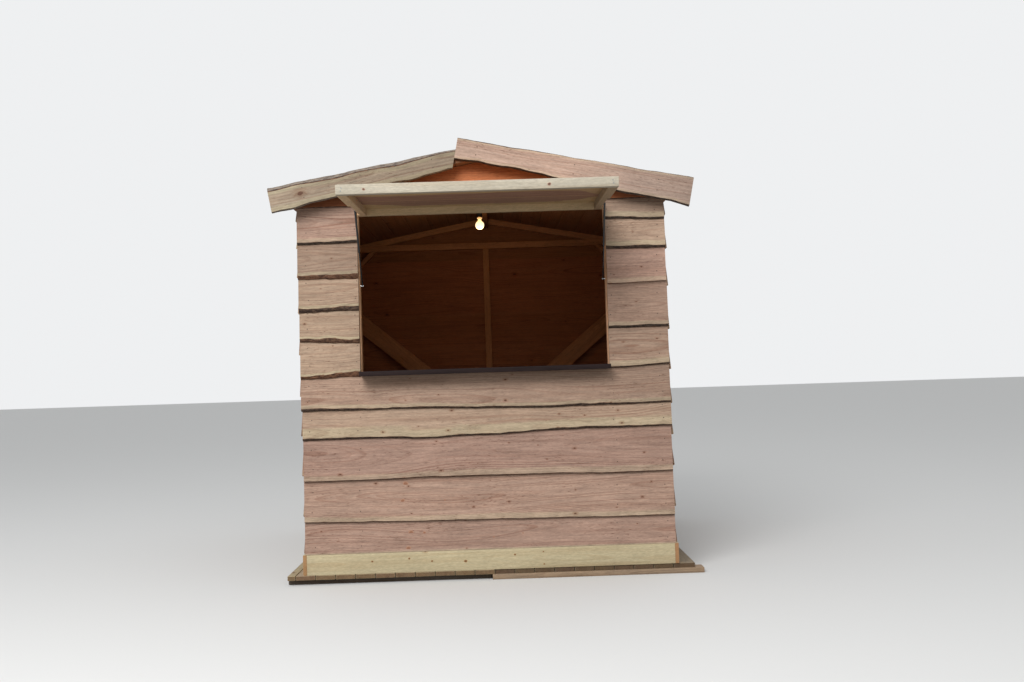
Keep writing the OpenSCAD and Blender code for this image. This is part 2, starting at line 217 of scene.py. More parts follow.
def ring_pattern(g, grain, ring, push):
    """The dark late wood of rings round a pith that sways along the board."""
    along, across, deep = g.split(grain)
    sway = g.noise(g.joined(along, 0.0), 0.8, 1.0) - 0.5
    dip = g.noise(g.joined(along, 3.7), 0.7, 1.0) - 0.5
    side = across + sway * 0.16
    down = deep + dip * 0.14
    waver = g.noise(g.scaled(grain, (2.4, 11.0, 11.0)), 1.0, 3.0) - 0.5
    radius = g.math("SQRT", side ** 2.0 + down ** 2.0) + waver * 0.011 + push * 0.016
    turn = g.math("FRACT", radius / ring)
    years = g.noise(g.joined(radius, along * 0.006), 55.0)
    return (g.between(turn, 0.35, 0.9) * (1.0 - g.between(turn, 0.92, 1.0))
            * g.between(years, 0.32, 0.72))


def bark_colour(g, bark, flakes):
    """Fresh bast up to 1, old dark bark up to 2, worn grey bark up to 3."""
    bast = g.mix(g.between(flakes, 0.35, 0.68), srgb(66, 38, 26), srgb(132, 92, 66))
    old = g.mix(g.between(flakes, 0.35, 0.68), srgb(32, 26, 23), srgb(88, 76, 66))
    worn = g.mix(g.between(flakes, 0.32, 0.62), srgb(98, 86, 79), srgb(152, 138, 124))
    return g.mix(bark - 2.0, g.mix(bark - 1.0, bast, old), worn)


def wood_material(name, early, late, sap, ring=0.009, contrast=0.7, knots=0.3, knot_size=1.0,
                  cells=(2.7, 4.4, 1.0), flecks=0.5, sawn=0.0, grey=0.0, gloss=0.72, shine=0.3,
                  mottle=0.6, end_tint=(0.84, 0.74, 0.66, 1.0)):
    """Solid wood with rings, knots, sapwood and bark; the colours are 8-bit screen colours.

    grain holds the point in the board's own axes, look its tone, its distance from the natural
    edge against the sapwood's width, and its bark (to 2 for dark bark, to 3 for grey). end marks
    sawn ends, and light how light the board is.
    """
    early, late, sap = srgb(*early), srgb(*late), srgb(*sap)
    g = new_material(name)
    grain = g.attribute("grain")
    tone, edge, bark = g.split(g.attribute("look"))
    end = g.attribute("end", "Fac")
    light = g.attribute("light", "Fac")
    flat = g.get(0, "UVMap", uv_map="flat")
    knot, halo, push = knot_pattern(g, flat, end, knots, knot_size, cells)
    late_wood = ring_pattern(g, grain, ring, push)

    def streaks(along, across, detail=2.0, roughness=0.5):
        """Noise drawn out along the grain."""
        return g.noise(g.scaled(grain, (along, across, across)), 1.0, detail, roughness)

    # Heartwood and sapwood
    fibre = streaks(9.0, 420.0)
    streak = streaks(0.9, 30.0, 3.0, 0.6)
    blotch = streaks(3.0, 5.0, 3.0)
    colour = g.mix(late_wood * contrast, early, late)
    colour = g.mix(g.between(streak, 0.42, 0.75) * 0.42, colour, late)
    sapwood = 1.0 - g.between(edge + (streak - 0.5) * 0.9, 0.72, 1.12)
    colour = g.mix(sapwood * 0.88, colour, g.mix(late_wood * (contrast * 0.4), sap, late))

    # Light and dark, and a turn from pink to yellow with the tone
    fine = streaks(40.0, 170.0, 3.0, 0.65)
    spots = streaks(6.0, 70.0, 3.0, 0.7)
    shade = (fibre - 0.5) * 0.25 + (blotch - 0.5) * 0.34 + (fine - 0.5) * 0.7
    shade = (shade + (spots - 0.5) * mottle + 1.0 + tone * 0.05) * light
    hue = g.mix(g.between(tone, -1.0, 1.0), (1.03, 0.96, 0.96, 1.0), (1.0, 1.05, 0.95, 1.0))
    colour = g.tinted(g.tinted(colour, g.joined(shade, shade, shade)), hue)
    if flecks:
        dash = streaks(30.0, 260.0, 2.0, 0.6) + streaks(2.2, 9.0) * 0.35
        fleck = g.between(dash, 0.80, 0.92) * flecks
        colour = g.tinted(colour, (0.42, 0.30, 0.24, 1.0), fleck)
    if grey:
        worn = g.between(streaks(1.6, 16.0, 4.0, 0.65), 0.35, 0.7)
        colour = g.mix(worn * grey, colour, srgb(126, 122, 114))
    colour = g.tinted(colour, (0.72, 0.55, 0.45, 1.0), halo * 0.6)
    core = g.mix(g.noise(flat, 160.0), srgb(108, 66, 46), srgb(52, 32, 24))
    colour = g.mix(knot * 0.85, colour, core)
    colour = g.tinted(colour, end_tint, end)

    # Bark starts at a ragged line on the natural edge
    flakes = streaks(38.0, 95.0, 4.0, 0.7)
    skin = g.between(bark + (flakes - 0.5), 0.30, 0.52)
    g.set(Base_Color=g.mix(skin, colour, bark_colour(g, bark, flakes)),
          Roughness=fibre * 0.16 + (gloss - 0.08), Specular_IOR_Level=shine)
    relief = fibre * 0.55 + late_wood * 0.35 + skin * (flakes * 4.5)
    if sawn:
        relief = relief + (streaks(150.0, 230.0, 3.0, 0.7) + streaks(95.0, 3.0)) * sawn
    g.bump(relief, 0.0011, 0.55)
    return g.owner


def knot_material(name, rim, core):
    """A knot's end grain: look holds how far out from its middle a point is, from 0 to 1."""
    g = new_material(name)
    out, _, _ = g.split(g.attribute("look"))
    ragged = (g.noise(g.attribute("grain"), 420.0) - 0.5) * 0.5
    g.set(Base_Color=g.mix(g.between(out + ragged, 0.35, 0.95), srgb(*core), srgb(*rim)),
          Roughness=0.6, Specular_IOR_Level=0.3)
    return g.owner


def metal_material(name, colour, roughness, metallic=1.0):
    """Plain metal or paint on it, with faint stains and scratches."""
    g = new_material(name)
    at = g.get("Object", "TexCoord")
    stain = g.noise(at, 60.0, 4.0, 0.65)
    g.set(Base_Color=g.tinted(srgb(*colour), (0.75, 0.75, 0.75, 1.0), g.between(stain, 0.4, 0.75)),
          Metallic=metallic, Roughness=stain * 0.25 + (roughness - 0.12))
    g.bump(g.noise(at, 700.0), 0.0002, 0.3)
    return g.owner


def felt_material():
    """Roofing felt with a surface of slate grains."""
    g = new_material("roofing_felt")
    at = g.get("Object", "TexCoord")
    speck, _, _ = g.split(g.get("Color", "TexVoronoi", [("Vector", at), ("Scale", 480.0)]))
    patch = g.between(g.noise(at, 2.2, 4.0, 0.6), 0.35, 0.75)
    colour = g.mix(speck, srgb(46, 52, 51), srgb(98, 104, 101))
    colour = g.tinted(colour, (0.72, 0.74, 0.70, 1.0), patch)
    g.set(Base_Color=colour, Roughness=0.92, Specular_IOR_Level=0.25)
    g.bump(speck * 0.6 + g.noise(at, 14.0, 3.0), 0.0012, 0.6)
    return g.owner


def bulb_material():
    """Frosted glass of a lit lamp, warmer towards its neck; look holds the height up the bulb."""
    g = new_material("lit_glass")
    height, _, _ = g.split(g.attribute("look"))
    glow = g.mix(g.between(height, 0.3, 0.8), (1.0, 0.78, 0.46, 1.0), (1.0, 0.6, 0.26, 1.0))
    g.set(Base_Color=(0.9, 0.75, 0.5, 1.0), Roughness=0.12, Emission_Color=glow,
          Emission_Strength=1.7)
    return g.owner


# Woods: early wood, late wood and sapwood
MATERIALS = {
    "boards": wood_material(
        "natural_edge_boards", (176, 148, 131), (140, 104, 86), (184, 164, 141), contrast=0.85,
        knot_size=0.72, cells=(5.0, 8.5, 1.0), flecks=0.9, mottle=0.95,
        end_tint=(1.0, 0.93, 0.86, 1.0)),
    # The inside faces are darker and redder than the outside: partly fresh wood, partly painted
    # shade of the dim inside.
    "inner": wood_material(
        "inside_face", (156, 101, 67), (122, 68, 40), (156, 105, 71), knots=0.35, knot_size=0.6),
    "barge": wood_material(
        "rough_sawn_boards", (192, 169, 153), (160, 125, 106), (196, 177, 154), ring=0.011,
        knots=0.2, flecks=0.9, sawn=1.6, mottle=0.9),
    # The gable board's deep orange-red is partly the board's own colour and partly painted warm
    # shade.
    "infill": wood_material(
        "red_board", (198, 122, 78), (156, 80, 47), (194, 124, 80), ring=0.010, knots=0.15),
    "spruce": wood_material(
        "pale_spruce", (192, 176, 148), (166, 138, 104), (192, 176, 148), ring=0.006,
        contrast=0.4, knots=0.5, knot_size=0.7, flecks=0.2, mottle=0.3,
        end_tint=(0.75, 0.5, 0.36, 1.0)),
    "hatch": wood_material(
        "planed_spruce", (188, 180, 166), (164, 146, 122), (188, 160, 126), ring=0.005,
        contrast=0.35, knot_size=0.6, flecks=0.2, mottle=0.4),
    # The jambs get a lighter, warmer colour than the pale spruce they are: painted light on faces
    # that lie in shade.
    "jamb": wood_material(
        "jamb_board", (222, 176, 140), (190, 138, 102), (222, 182, 146), ring=0.007, knots=0.2,
        knot_size=0.6),
    "frame": wood_material(
        "frame_timber", (184, 134, 96), (141, 91, 61), (192, 147, 109), ring=0.006,
        contrast=0.6, knots=0.4, knot_size=0.7),
    "panel": wood_material(
        "hatch_panel", (160, 124, 104), (122, 86, 68), (190, 156, 118), contrast=0.6, knots=0.2,
        knot_size=0.7),
    "roof": wood_material(
        "roof_boards", (146, 104, 76), (108, 70, 48), (152, 114, 84), knots=0.4, sawn=0.8,
        grey=0.15),
    # The floor boards' dark end tint is partly end grain and partly painted shade on the front
    # ends under the skirting.
    "deck": wood_material(
        "floor_boards", (168, 150, 122), (124, 98, 72), (170, 152, 124), ring=0.008,
        knot_size=0.7, grey=0.2, end_tint=(0.52, 0.42, 0.36, 1.0)),
    "bearer": wood_material(
        "ground_timber", (84, 68, 54), (58, 45, 35), (88, 72, 58), ring=0.008, grey=0.4),
    "plank": wood_material(
        "ground_plank", (158, 132, 110), (114, 88, 70), (162, 140, 116), ring=0.010, sawn=0.8,
        grey=0.2),
    "counter": wood_material(
        "dark_stained_board", (44, 34, 34), (32, 24, 24), (48, 37, 36), ring=0.008,
        contrast=0.8, knots=0.2, flecks=0.0, gloss=0.62, shine=0.1),
    "pale_knot": knot_material("spruce_knot", (180, 144, 98), (112, 78, 50)),
    "red_knot": knot_material("larch_knot", (176, 134, 110), (148, 104, 80)),
    "rail_knot": knot_material("spruce_rail_knot", (186, 158, 136), (100, 66, 54)),
    "zinc": metal_material("zinc_plate", (150, 150, 147), 0.45),
    "nail": metal_material("dull_nail", (112, 98, 86), 0.6),
    "bright": metal_material("bright_steel", (205, 206, 205), 0.28),
    "black": metal_material("black_paint", (26, 26, 28), 0.42, metallic=0.0),
    "rod": metal_material("dark_rod", (52, 52, 54), 0.25, metallic=0.9),
    "plastic": metal_material("black_plastic", (24, 23, 23), 0.5, metallic=0.0),
    "brass": metal_material("brass_cap", (190, 150, 84), 0.35),
    "felt": felt_material(),
    "bulb": bulb_material(),
}


# Meshes

class Part:
    """Gathers shapes into one mesh, with what the wood materials need at each point."""

    def __init__(self):
        self.points, self.faces, self.inner = [], [], []
        self.grain, self.look, self.light = [], [], []

    def add(self, points, faces, grain=None, look=None, inner=(), lights=None):
        """inner holds the numbers of the faces that get the second material."""
        start = len(self.points)
        self.inner += [len(self.faces) + n for n in inner]
        self.points += [Vector(p) for p in points]
        self.faces += [tuple(start + i for i in f) for f in faces]
        self.grain += grain or [Vector(p) for p in points]
        self.look += look or [PLAIN] * len(points)
        self.light += lights or [1.0] * len(points)

    def flat_place(self, face):
        """A face's own plane coordinates, and whether the grain runs into the face."""
        at = [self.grain[i] for i in face]
        size = [max(p[k] for p in at) - min(p[k] for p in at) for k in range(3)]
        if size[0] < 0.3 * min(size[1], size[2]):
            return [(p.y + 9, p.z + 9) for p in at], 1.0
        if size[1] < size[2]:
            return [(p.x, p.z + 5) for p in at], 0.0
        return [(p.x, p.y) for p in at], 0.0

    def make(self, name, material, body, slot, *nodes):
        """Makes the piece, on a body, in place of CAD nodes."""
        mesh = bpy.data.meshes.new(name)
        mesh.from_pydata(self.points, [], self.faces)
        bm = bmesh.new()
        bm.from_mesh(mesh)
        bmesh.ops.recalc_face_normals(bm, faces=bm.faces)
        bm.to_mesh(mesh)
        bm.free()
        flat = mesh.uv_layers.new(name="flat")
        end = mesh.attributes.new("end", "FLOAT", "FACE")
        for polygon in mesh.polygons:
            places, ended = self.flat_place(polygon.vertices)
            end.data[polygon.index].value = ended
            for loop, place in zip(polygon.loop_indices, places):
                flat.data[loop].uv = place
        for label, values in (("grain", self.grain), ("look", self.look)):
            attribute = mesh.attributes.new(label, "FLOAT_VECTOR", "POINT")
            attribute.data.foreach_set("vector", [c for p in values for c in p])
        light = mesh.attributes.new("light", "FLOAT", "POINT")
        light.data.foreach_set("value", self.light)
        mesh.polygons.foreach_set("use_smooth", [True] * len(mesh.polygons))
        mesh.set_sharp_from_angle(angle=SHARP)
        mesh.materials.append(MATERIALS[material])
        if self.inner:
            mesh.materials.append(MATERIALS["inner"])
            for n in self.inner:
                mesh.polygons[n].material_index = 1
        piece = linked(name, mesh)
        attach(piece, body)
        if nodes:
            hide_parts(*nodes)
        return piece


def circle(corners):
    return [2 * math.pi * k / corners for k in range(corners)]


def tube_faces(rings, corners, caps=()):
    """Faces between closed rings of points that follow each other, and over the rings in caps."""
    faces = []
    for base in range(0, (rings - 1) * corners, corners):
        for k in range(corners):
            n = (k + 1) % corners
            faces.append((base + k, base + n, base + n + corners, base + k + corners))
    return faces + [tuple(range(n * corners, (n + 1) * corners)) for n in caps]


def screws(name, material, body, places, radius):
    """Countersunk heads, a little proud: places holds each one's point and its way out."""
    part = Part()
    corners = 10
    rings = ((1.0, -0.0012), (1.0, 0.0006), (0.72, 0.0012), (0.3, 0.0009))
    for at, normal in places:
        side = normal.orthogonal().normalized()
        up = normal.cross(side)
        points = [at + (side * math.cos(a) + up * math.sin(a)) * radius * share + normal * height
                  for share, height in rings for a in circle(corners)]
        part.add(points, tube_faces(len(rings), corners, (len(rings) - 1,)))
    part.make(name, material, body, "hinge_steel")


# Reading the CAD

def cad_points(node):
    return [v.co.copy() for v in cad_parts[node].data.vertices]


def islands(points, faces):
    """Groups of point numbers that hang together; points at one place count as joined."""
    places = {}
    for i, p in enumerate(points):
        places.setdefault(tuple(round(c, 5) for c in p), set()).add(i)
    groups = []
    for joined in [*places.values(), *map(set, faces)]:
        for group in [group for group in groups if group & joined]:
            groups.remove(group)
            joined = joined | group
        groups.append(joined)
    return sorted(map(sorted, groups), key=lambda group: tuple(points[group[0]]))


def solid_points(node, number):
    """The points of one solid of a node, where the solids count from the left."""
    points = cad_points(node)
    solids = islands(points, [p.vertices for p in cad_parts[node].data.polygons])
    solids.sort(key=lambda group: sum(points[i].x for i in group) / len(group))
    return [points[i] for i in solids[number]]


def own_axes(points):
    """Centre of a solid, its axes from long to thin, and its half sizes along them."""
    centre = sum(points, Vector()) / len(points)
    offsets = [p - centre for p in points]
    spread = Matrix([[sum(q[r] * q[c] for q in offsets) for c in range(3)] for r in range(3)])
    axes = []
    for _ in range(2):
        v = Vector((0.81, 0.57, 0.35))
        for _ in range(200):
            v = spread @ v
            for a in axes:
                v -= a * v.dot(a)
            v.normalize()
        axes.append(v.copy())
    axes.append(axes[0].cross(axes[1]))
    for a in axes:
        if max(a, key=abs) < 0:
            a.negate()
    low = [min(q.dot(a) for q in offsets) for a in axes]
    high = [max(q.dot(a) for q in offsets) for a in axes]
    middle = centre + sum((a * (l + h) / 2 for a, l, h in zip(axes, low, high)), Vector())
    return middle, axes, [(h - l) / 2 for l, h in zip(low, high)]


eave_z = max(p.z for p in cad_points("front_gable") if abs(p.x) > HALF - 0.001)
SLOPE = (RIDGE - eave_z) / HALF
TILT = math.atan(SLOPE)


def slope_axes(side, tilt=TILT):
    """Directions down the roof on one side, and out of it."""
    return (Vector((side * math.cos(tilt), 0, -math.sin(tilt))),
            Vector((side * math.sin(tilt), 0, math.cos(tilt))))


# Natural-edge boards

# The natural edge in section: how far down the bark a point is, and how deep
BARK_CURVE = ((0.0, 1.0), (0.06, 0.66), (0.3, 0.34), (0.62, 0.12), (0.86, 0.025))
FACE_SHARES = (0.0, 0.12, 0.3, 0.55, 0.8, 1.0)


def natural_board(part, place, start, stop, low, high, seed, wane=0.004, top_wane=0.0, sap=0.03,
                  tone=0.0, bark=0.0, light=1.0, thick=BOARD, skew=0.0, inner=False):
    """A board with bark along its lower edge, and along its upper edge where top_wane is set.

    place turns a point along, up and into the board into a place; low and high give its edges.
    bark goes from 0, fresh, over 1, dark and old, to 2, grey. light is how light the board is, as
    a number or as several at even steps from start to stop. skew slants the end at start.
    """
    rng = random.Random(seed)
    shift = rng.uniform(0, 60)
    middle = (start + stop) / 2
    pith = Vector((0, (low(middle) + high(middle)) / 2 + rng.uniform(-0.05, 0.05),
                   rng.uniform(0.03, 0.10) * rng.choice((-1, 1))))
    cup = rng.uniform(-0.0012, 0.0012)
    count = max(3, round((stop - start) / STEP))
    full = min(1, wane / 0.004)
    rough = 0.0010 + 0.10 * wane
    steps = light if isinstance(light, tuple) else (light, light)
    points, grain, look, lights = [], [], [], []
    for i in range(count + 1):
        u = start + (stop - start) * i / count
        lo, hi = low(u), high(u)
        swell = 0.85 + 0.5 * wobble(seed, u * 2.6) + 0.3 * wobble(seed + 3, u * 14)
        under = max(0.0012, wane * swell)
        over = max(0.001, top_wane * (0.85 + 0.6 * wobble(seed + 5, u * 2.9)))
        face_low, face_high = lo + under, hi - over
        ring = []
        for share, depth in BARK_CURVE:
            jog = rough * wobble(seed + depth, u * 45, share * 9)
            skin = (full + bark) * (0.35 if depth == 1.0 else 1.0)
            ring.append((lo + under * share + jog, depth * thick + jog, skin))
        for share in FACE_SHARES:
            v = face_low + (face_high - face_low) * share
            d = cup * math.sin(math.pi * share) + 0.0006 * wobble(seed + 9, u * 3, v * 5)
            ring.append((v, d, 0.0))
        for share, depth in reversed(BARK_CURVE[:4]):
            jog = (rough if top_wane else 0.0) * wobble(seed + depth + 2, u * 44, share * 9)
            skin = 1.0 + bark if top_wane else 0.0
            ring.append((face_high + over * (1 - share) + jog, depth * thick, skin))
        ring += [(v, thick, 0.0) for v in (hi - 0.001, (lo + hi) / 2, lo + 0.001)]
        near = max(0.0, 1 - (u - start) / 0.2)
        for v, d, skin in ring:
            w = u + skew * v * near
            points.append(place(w, v, d))
            grain.append(Vector((w + shift, v - pith.y, d - pith.z)))
            distance = min(v - face_low, face_high - v) if top_wane else v - face_low
            look.append((tone, max(0.0, distance) / sap if sap else NO_SAP, skin))
        lights += [along_list(steps, i / count)] * len(ring)
    size = len(ring)
    faces = tube_faces(count + 1, size)
    back = [n for n in range(len(faces)) if n % size >= size - 4]
    for first in (0, count * size):
        cap = list(range(first, first + size))
        faces.append(tuple(len(points) + n for n in range(size)))
        points += [points[n] for n in cap]
        grain += [grain[n] for n in cap]
        look += [(tone, look[n][1], look[n][2] * 0.3) for n in cap]
        lights += [lights[n] for n in cap]
    part.add(points, faces, grain, look, back if inner else (), lights)


# Each screw's place and its way out, gathered while the boards are made
SCREWS_AT = []
RAGGED = 0.006
SHORTEST = 0.15
THINNEST = 0.012


def chance_looks(rng):
    """A board that isn't in the photograph, in the order that clad gives."""
    line = [rng.uniform(-8, 8) for _ in range(5)]
    return (rng.choice((0.003, 0.004, 0.008, 0.012)), rng.uniform(0.01, 0.04),
            rng.uniform(-0.8, 0.8), rng.uniform(0, 0.8), rng.uniform(0.84, 1.04), line)


def clad(name, node, origin, run, inward, top, seed, posts, looks=None, material="boards"):
    """Boards one wall: a board starts wherever the CAD wall touches its outer face.

    origin is where the run counts from, at height 0, top a function for the height that the last
    board may reach, and looks each board's bark, sapwood, tone, age of the bark, light, and how
    far its lower edge leaves the lap, in millimetres along the run.
    """
    origin, run, inward = Vector(origin), Vector(run), Vector(inward)
    laps = sorted({round(p.z, 4) for p in cad_points(node)
                   if abs((p - origin).dot(inward)) < 2e-4})
    part = Part()
    rng = random.Random(seed)
    start, stop = sorted(corner.dot(run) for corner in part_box(node))
    middle = (start + stop) / 2
    for k, z in enumerate(laps):
        last = k + 1 == len(laps)
        shows = (top(middle) if last else laps[k + 1]) - z
        lean = (WALL - BOARD - 0.002) / max(shows, 0.12)
        wane, sap, tone, bark, light, line = looks[k] if looks else chance_looks(rng)
        wave = 0.0015 + 0.12 * wane if z > FLOOR + 0.15 else 0.0006

        def low(u):
            slow = wobble(seed + k, u * 3.1) + 0.5 * wobble(seed + k + 40, u * 9)
            return z + along_list(line, (u - start) / (stop - start)) / 1000 + slow * wave

        def high(u):
            if last:
                return top(u)
            return min(z + 1.1 * shows + 0.003 * wobble(seed + k + 80, u * 2.5), top(u))

        def place(u, v, d):
            return origin + run * u + inward * (max(0.0, v - z) * lean + d) + Vector((0, 0, v))

        ends = [start + rng.uniform(0, RAGGED), stop - rng.uniform(0, RAGGED)]
        if last:
            for n, step in ((0, 0.005), (1, -0.005)):
                while (middle - ends[n]) * step > 0 and top(ends[n]) < low(ends[n]) + THINNEST:
                    ends[n] += step
        if ends[1] - ends[0] < SHORTEST:
            continue
        natural_board(part, place, *ends, low, high, seed * 31 + k, wane, 0.0, sap, tone, bark,
                      light, inner=True)
        for post in posts:
            if ends[0] + 0.01 < post < ends[1] - 0.01:
                for share in (0.24, 0.7):
                    u = post + rng.uniform(-0.009, 0.009)
                    v = low(u) + wane + share * shows + rng.uniform(-0.008, 0.008)
                    if v < high(u) - 0.02:
                        SCREWS_AT.append((place(u, v, 0), -inward))
    return part.make(name, material, "hut", "boards", node)


def level(z):
    return lambda u: z


def under_roof(u):
    return RIDGE - abs(u) * SLOPE - 0.0015


pier_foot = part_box("front_pier_right")[0]


def under_piers(u):
    """The low wall laps behind the boards beside the opening, and ends under the counter."""
    return pier_foot.z + (LAP if abs(u) > pier_foot.x else 0.0)


# The front's boards from the foot up, as the photograph shows them, in the order that clad gives
STRAIGHT = (0, 0)
LOW_LOOKS = [(0.001, 0.008, -0.5, 0.0, 0.93, STRAIGHT),
             (0.006, 0.030, -0.3, 0.4, 0.98, (12, 6, 0, -3, -6, -10, -10)),
             (0.007, 0.034, -0.7, 0.5, 0.88, (-3, -5, 2, 1, 2, -9, -4)),
             (0.015, 0.055, 0.4, 0.8, 0.96, (-21, -20, -28, -20, -5, -1, 1)),
             (0.016, 0.020, 0.0, 0.8, (0.93, 0.95, 0.82), (-4, -8, -7, -18, -25, -21, -18))]
LEFT_LOOKS = [(0.032, 0.012, 0.6, 0.1, 0.92, (-9, -4)),
              (0.035, 0.014, 0.8, 0.4, 0.90, (-8, -24)),
              (0.033, 0.014, 0.6, 0.7, 0.92, (-15, -13)),
              (0.035, 0.016, 0.3, 0.2, 0.74, (-10, -17)),
              # The top board's dark old bark along its lower edge also paints the shade in the gap
              # under it.
              (0.016, 0.022, -0.4, 0.9, 0.92, (-19, -14, -9))]
RIGHT_LOOKS = [(0.010, 0.034, 0.1, 0.8, 0.98, (2, 16)),
               (0.021, 0.022, -0.2, 0.9, 1.0, (-11, -10)),
               (0.003, 0.030, -0.7, 0.2, 1.16, (4, 12)),
               (0.019, 0.026, 0.3, 0.8, 0.98, (-4, -3)),
               (0.017, 0.030, 0.2, 0.9, 0.80, (10, 3))]
# The gable board's light falls from 1.0 in its middle to 0.42 and 0.5 at its ends: painted shade.
GABLE_LOOKS = [(0.006, 0.0, 0.0, 0.5, (0.42, 0.5, 1.0, 0.9, 0.5), STRAIGHT)]
front = dict(origin=(0, FRONT, 0), run=(1, 0, 0), inward=(0, 1, 0),
             posts=[-POST_X[0], -POST_X[1], POST_X[1], POST_X[0]])
low_boards = clad("front_low_boards", "front_wall_low", top=under_piers, seed=11,
                  looks=LOW_LOOKS, **front)
over_opening = level(OPEN_TOP + LAP)
clad("front_left_boards", "front_pier_left", top=over_opening, seed=12, looks=LEFT_LOOKS, **front)
clad("front_right_boards", "front_pier_right", top=over_opening, seed=13, looks=RIGHT_LOOKS,
     **front)
clad("front_gable_boards", "front_gable", top=under_roof, seed=14, looks=GABLE_LOOKS,
     material="infill", **front)
back = dict(origin=(0, BACK, 0), run=(-1, 0, 0), inward=(0, -1, 0),
            posts=[-POST_X[0], 0, POST_X[0]])
clad("back_boards", "back_wall", top=over_opening, seed=21, **back)
clad("back_gable_boards", "back_gable", top=under_roof, seed=22, **back)
side_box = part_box("right_wall")
side_posts = [side_box[0].y + STUD / 2, side_box[1].y - STUD / 2]
for label, way in (("left", -1), ("right", 1)):
    clad(label + "_boards", label + "_wall", origin=(way * SIDE, 0, 0), run=(0, 1, 0),
         inward=(-way, 0, 0), top=level(side_box[1].z), seed=31 + way, posts=side_posts)


# Bargeboards: the outline comes from the CAD board

# The board that runs past the ridge, its lower edge flared there, and the one that ends at it
PAST_RIDGE = dict(wane=0.009, top_wane=0.007, sap=0.012, tone=-0.5, bark=0.9,
                  # Its light dips at the ridge end, painted shade, and falls towards the foot.
                  light=(0.86, 0.93, 0.97, 0.88, 0.76, 0.62))
BUTTED = dict(wane=0.008, top_wane=0.030, sap=0.022, tone=0.9, bark=1.8,
              light=(0.48, 0.52, 0.50, 0.54, 0.62, 0.68))
FLARE = 0.018
FLARE_LENGTH = 0.15


def own_outline(solid, side):
    """Directions along and up a bargeboard, and its upper and lower edges as (along, up) pairs."""
    tilt = TILT
    for _ in range(2):
        along, up = slope_axes(side, tilt)
        flat = sorted((round(q.dot(along), 4), q.dot(up)) for q in solid)
        middle = sum(v for _, v in flat) / len(flat)
        uppers = [p for p in flat if p[1] > middle]
        lowers = [p for p in flat if p[1] < middle]
        tilt -= math.atan2(uppers[-1][1] - uppers[0][1], uppers[-1][0] - uppers[0][0])
    return along, up, uppers, lowers


def follow(outline, u):
    before = [p for p in outline if p[0] <= u] or outline[:1]
    after = [p for p in outline if p[0] >= u] or outline[-1:]
    (a, va), (b, vb) = before[-1], after[0]
    return va if b - a < 1e-6 else va + (vb - va) * (u - a) / (b - a)


def bargeboards(name, node, sides, seed):
    """Rough-sawn boards up the roof's edge; one of the two ends against the other."""
    part = Part()
    facing = 1 if "back" in node else -1
    lo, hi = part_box(node)
    peak = Vector((0, 0, RIDGE))
    corner = Vector((0, lo.y if facing < 0 else hi.y, RIDGE))
    for number, side in enumerate(sides):
        solid = [p - peak for p in solid_points(node, number)]
        along, up, uppers, lowers = own_outline(solid, side)

        def place(u, v, d):
            return corner - Vector((0, facing * d, 0)) + along * u + up * v

        (top_u, top_v), (low_u, low_v) = uppers[0], lowers[0]
        lean = (top_u - low_u) / (top_v - low_v)
        start = top_u - lean * top_v
        stop = min(uppers[-1][0], lowers[-1][0])
        looks, flare = (PAST_RIDGE, FLARE) if top_u < 0 else (BUTTED, 0.0)

        def low(u):
            return follow(lowers, u) - flare * max(0.0, 1 - (u - start) / FLARE_LENGTH)

        natural_board(part, place, start, stop, low, lambda u: follow(uppers, u), seed + number,
                      thick=BARGE, skew=lean, **looks)
        for u in (start + 0.12, (start + stop) / 2, stop - 0.2):
            for share in (0.3, 0.7):
                v = follow(lowers, u) * share + follow(uppers, u) * (1 - share)
                SCREWS_AT.append((place(u, v, 0), Vector((0, facing, 0))))
    part.make(name, "barge", "hut", "boards", node)


bargeboards("right_bargeboard", "bargeboard_right", (1,), 51)
bargeboards("left_bargeboard", "bargeboard_left", (-1,), 53)
bargeboards("back_bargeboard_pair", "back_bargeboards", (-1, 1), 55)


# Sawn timbers keep the CAD solid, with eased edges and grain along their length

def eased(bm, ease, **how):
    """The points and faces of a solid with eased edges."""
    bmesh.ops.bevel(bm, geom=bm.edges[:], offset=ease, affect="EDGES", clamp_overlap=True, **how)
    bm.verts.index_update()
    points = [v.co.copy() for v in bm.verts]
    faces = [tuple(v.index for v in f.verts) for f in bm.faces]
    bm.free()
    return points, faces


def timber(part, node, seed, ease=0.0025, tone=0.5, looks=((1.0, NO_SAP),)):
    """Adds every solid of a CAD node, with eased edges.

    looks goes round the solids: how light each one is, and 0 where it is all sapwood.
    """
    bm = bmesh.new()
    bm.from_mesh(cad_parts[node].data)
    bmesh.ops.remove_doubles(bm, verts=bm.verts, dist=1e-5)
    bmesh.ops.dissolve_limit(bm, angle_limit=0.03, verts=bm.verts, edges=bm.edges)
    points, faces = eased(bm, ease, segments=2, profile=0.6)
    for number, group in enumerate(islands(points, faces)):
        rng = random.Random(seed * 17 + number)
        solid = [points[i] for i in group]
        centre, axes, _ = own_axes(solid)
        shift = Vector((rng.uniform(0, 60), rng.uniform(-0.06, 0.06), rng.uniform(-0.07, 0.07)))
        order = {i: n for n, i in enumerate(group)}
        grain = [Vector([(p - centre).dot(a) for a in axes]) + shift for p in solid]
        light, edge = looks[number % len(looks)]
        look = [(rng.uniform(-tone, tone), edge, 0.0)] * len(group)
        mine = [tuple(order[i] for i in f) for f in faces if f[0] in order]
        part.add(solid, mine, grain, look, (), [light] * len(group))


def timbers(name, material, slot, nodes, seed, **how):
    part = Part()
    for k, node in enumerate(nodes):
        timber(part, node, seed + k, **how)
    return part.make(name, material, "hut", slot, *nodes)


